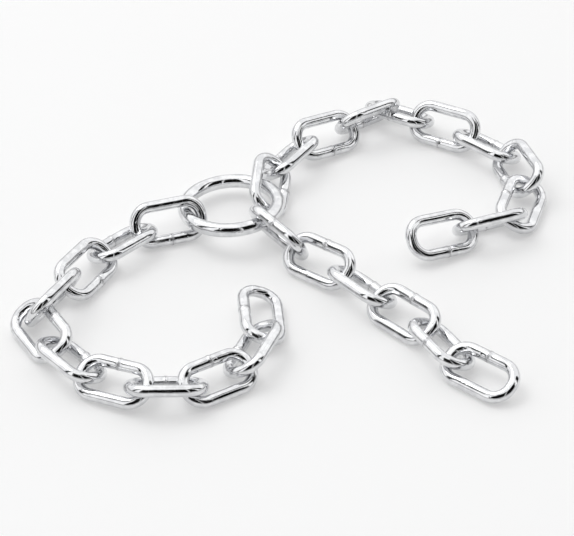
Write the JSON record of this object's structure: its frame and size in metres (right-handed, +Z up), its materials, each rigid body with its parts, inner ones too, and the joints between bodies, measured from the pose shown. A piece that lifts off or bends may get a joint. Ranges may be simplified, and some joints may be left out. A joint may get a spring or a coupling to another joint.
{
  "type": "ring with three chain tails",
  "caption": "Welded steel ring with three lengths of round link chain hooked on it, lying spread on a level surface.",
  "frame": {"origin": "on the floor, at the middle of the box round the layout", "axes": "+Z up from the floor, +X towards the right tail's side, along the layout's longest extent, and -Y towards the front"},
  "size_m": [0.226, 0.2028, 0.0201],
  "materials": {
    "ring_steel": "bright zinc plate",
    "link_steel": "bright zinc plate"
  },
  "bodies": {
    "ring": {"ring": "ring_steel"},
    "left_link_01": {"left_link_01": "link_steel"},
    "left_link_02": {"left_link_02": "link_steel"},
    "left_link_03": {"left_link_03": "link_steel"},
    "left_link_04": {"left_link_04": "link_steel"},
    "left_link_05": {"left_link_05": "link_steel"},
    "left_link_06": {"left_link_06": "link_steel"},
    "left_link_07": {"left_link_07": "link_steel"},
    "left_link_08": {"left_link_08": "link_steel"},
    "left_link_09": {"left_link_09": "link_steel"},
    "left_link_10": {"left_link_10": "link_steel"},
    "left_link_11": {"left_link_11": "link_steel"},
    "right_link_01": {"right_link_01": "link_steel"},
    "right_link_02": {"right_link_02": "link_steel"},
    "right_link_03": {"right_link_03": "link_steel"},
    "right_link_04": {"right_link_04": "link_steel"},
    "right_link_05": {"right_link_05": "link_steel"},
    "right_link_06": {"right_link_06": "link_steel"},
    "right_link_07": {"right_link_07": "link_steel"},
    "right_link_08": {"right_link_08": "link_steel"},
    "right_link_09": {"right_link_09": "link_steel"},
    "right_link_10": {"right_link_10": "link_steel"},
    "right_link_11": {"right_link_11": "link_steel"},
    "front_link_01": {"front_link_01": "link_steel"},
    "front_link_02": {"front_link_02": "link_steel"},
    "front_link_03": {"front_link_03": "link_steel"},
    "front_link_04": {"front_link_04": "link_steel"},
    "front_link_05": {"front_link_05": "link_steel"},
    "front_link_06": {"front_link_06": "link_steel"}
  },
  "joints": [
    {"name": "left_swing_01", "type": "hinge", "parent": "ring", "child": "left_link_01", "pos_m": [-0.03957, 0.01126, 0.00864], "axis": [0, 0, 1], "range_deg": [-14, 10]},
    {"name": "left_swing_02", "type": "hinge", "parent": "left_link_01", "child": "left_link_02", "pos_m": [-0.0618, 0.00516, 0.00555], "axis": [0, 0, -1], "range_deg": [-10, 10]},
    {"name": "left_swing_03", "type": "hinge", "parent": "left_link_02", "child": "left_link_03", "pos_m": [-0.07824, -0.0112, 0.0068], "axis": [0, 0, 1], "range_deg": [-20, 6]},
    {"name": "left_swing_04", "type": "hinge", "parent": "left_link_03", "child": "left_link_04", "pos_m": [-0.0899, -0.0314, 0.00921], "axis": [0, 0, -1], "range_deg": [-16, 20]},
    {"name": "left_swing_05", "type": "hinge", "parent": "left_link_04", "child": "left_link_05", "pos_m": [-0.10618, -0.04866, 0.00651], "axis": [0, 0, 1], "range_deg": [-10, 18]},
    {"name": "left_swing_06", "type": "hinge", "parent": "left_link_05", "child": "left_link_06", "pos_m": [-0.09447, -0.06698, 0.00574], "axis": [0, 0, -1], "range_deg": [-8, 20]},
    {"name": "left_swing_07", "type": "hinge", "parent": "left_link_06", "child": "left_link_07", "pos_m": [-0.07953, -0.08369, 0.0053], "axis": [0, 0, 1], "range_deg": [-14, 10]},
    {"name": "left_swing_08", "type": "hinge", "parent": "left_link_07", "child": "left_link_08", "pos_m": [-0.05952, -0.09282, 0.00742], "axis": [0, 0, -1], "range_deg": [-10, 20]},
    {"name": "left_swing_09", "type": "hinge", "parent": "left_link_08", "child": "left_link_09", "pos_m": [-0.03784, -0.09204, 0.00604], "axis": [0, 0, 1], "range_deg": [-20, 8]},
    {"name": "left_swing_10", "type": "hinge", "parent": "left_link_09", "child": "left_link_10", "pos_m": [-0.01867, -0.08082, 0.00644], "axis": [0, 0, -1], "range_deg": [-8, 20]},
    {"name": "left_swing_11", "type": "hinge", "parent": "left_link_10", "child": "left_link_11", "pos_m": [-0.00957, -0.06037, 0.00546], "axis": [0, 0, 1], "range_deg": [-12, 20]},
    {"name": "right_swing_01", "type": "hinge", "parent": "ring", "child": "right_link_01", "pos_m": [-0.00884, 0.02145, 0.00691], "axis": [0, 0, 1], "range_deg": [-6, 14]},
    {"name": "right_swing_02", "type": "hinge", "parent": "right_link_01", "child": "right_link_02", "pos_m": [-0.00648, 0.04462, 0.0068], "axis": [0, 0, -1], "range_deg": [-6, 14]},
    {"name": "right_swing_03", "type": "hinge", "parent": "right_link_02", "child": "right_link_03", "pos_m": [0.00695, 0.06346, 0.00952], "axis": [0, 0, 1], "range_deg": [-14, 20]},
    {"name": "right_swing_04", "type": "hinge", "parent": "right_link_03", "child": "right_link_04", "pos_m": [0.02651, 0.07547, 0.01006], "axis": [0, 0, -1], "range_deg": [-20, 8]},
    {"name": "right_swing_05", "type": "hinge", "parent": "right_link_04", "child": "right_link_05", "pos_m": [0.04135, 0.09469, 0.00537], "axis": [0, 0, 1], "range_deg": [-20, 4]},
    {"name": "right_swing_06", "type": "hinge", "parent": "right_link_05", "child": "right_link_06", "pos_m": [0.06027, 0.08143, 0.00806], "axis": [0, 0, -1], "range_deg": [-8, 20]},
    {"name": "right_swing_07", "type": "hinge", "parent": "right_link_06", "child": "right_link_07", "pos_m": [0.08009, 0.07178, 0.00598], "axis": [0, 0, 1], "range_deg": [-20, 16]},
    {"name": "right_swing_08", "type": "hinge", "parent": "right_link_07", "child": "right_link_08", "pos_m": [0.09774, 0.05689, 0.00754], "axis": [0, 0, -1], "range_deg": [-20, 18]},
    {"name": "right_swing_09", "type": "hinge", "parent": "right_link_08", "child": "right_link_09", "pos_m": [0.10509, 0.03457, 0.00626], "axis": [0, 0, 1], "range_deg": [-20, 10]},
    {"name": "right_swing_10", "type": "hinge", "parent": "right_link_09", "child": "right_link_10", "pos_m": [0.09753, 0.01227, 0.00814], "axis": [0, 0, -1], "range_deg": [-20, 20]},
    {"name": "right_swing_11", "type": "hinge", "parent": "right_link_10", "child": "right_link_11", "pos_m": [0.07635, 0.00465, 0.00673], "axis": [0, 0, 1], "range_deg": [-20, 20]},
    {"name": "front_swing_01", "type": "hinge", "parent": "ring", "child": "front_link_01", "pos_m": [-0.01197, 0.00731, 0.01139], "axis": [0, 0, 1], "range_deg": [-16, 14]},
    {"name": "front_swing_02", "type": "hinge", "parent": "front_link_01", "child": "front_link_02", "pos_m": [0.00352, -0.00966, 0.00691], "axis": [0, 0, -1], "range_deg": [-20, 14]},
    {"name": "front_swing_03", "type": "hinge", "parent": "front_link_02", "child": "front_link_03", "pos_m": [0.02254, -0.02345, 0.00644], "axis": [0, 0, 1], "range_deg": [-20, 8]},
    {"name": "front_swing_04", "type": "hinge", "parent": "front_link_03", "child": "front_link_04", "pos_m": [0.03851, -0.04059, 0.0063], "axis": [0, 0, -1], "range_deg": [-16, 6]},
    {"name": "front_swing_05", "type": "hinge", "parent": "front_link_04", "child": "front_link_05", "pos_m": [0.05535, -0.05611, 0.00595], "axis": [0, 0, 1], "range_deg": [-6, 20]},
    {"name": "front_swing_06", "type": "hinge", "parent": "front_link_05", "child": "front_link_06", "pos_m": [0.06649, -0.07497, 0.00534], "axis": [0, 0, -1], "range_deg": [-12, 14]}
  ]
}
